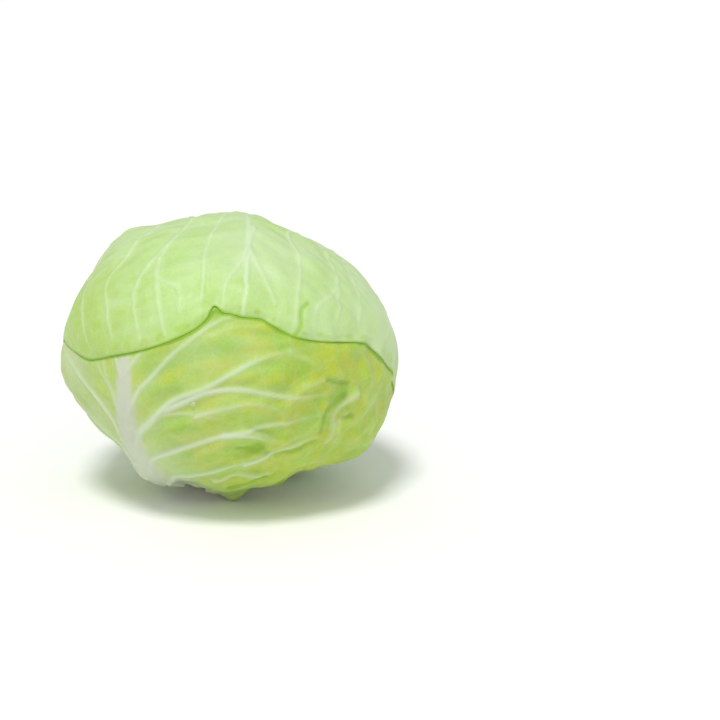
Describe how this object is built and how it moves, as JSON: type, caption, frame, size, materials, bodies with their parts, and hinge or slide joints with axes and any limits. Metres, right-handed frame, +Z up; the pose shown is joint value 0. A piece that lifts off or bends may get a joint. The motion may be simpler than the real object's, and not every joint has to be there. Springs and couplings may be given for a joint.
{
  "type": "green cabbage",
  "caption": "Round green cabbage head lying on its underside: a cut stem, a dense heart and five separate wrapped outer leaves with raised midribs and side veins.",
  "frame": {"origin": "on the surface that the head lies on, under the middle of its bounding box", "axes": "+Z up, -Y towards the viewer of the picture, +X to the viewer's right; the stem end is low at the front left and the crown leans back to the right"},
  "size_m": [0.1888, 0.184, 0.158],
  "materials": {
    "cap_leaf": "waxy pale blue-green leaf, satin",
    "leaf": "waxy yellow-green leaf, satin",
    "heart": "tightly packed pale leaves, matte",
    "stem": "cut pithy stem, matte"
  },
  "bodies": {
    "root": {"cap_leaf": "cap_leaf", "front_leaf": "leaf", "right_leaf": "leaf", "left_leaf": "leaf", "inner_leaf": "leaf", "heart": "heart", "stem": "stem"}
  },
  "joints": []
}
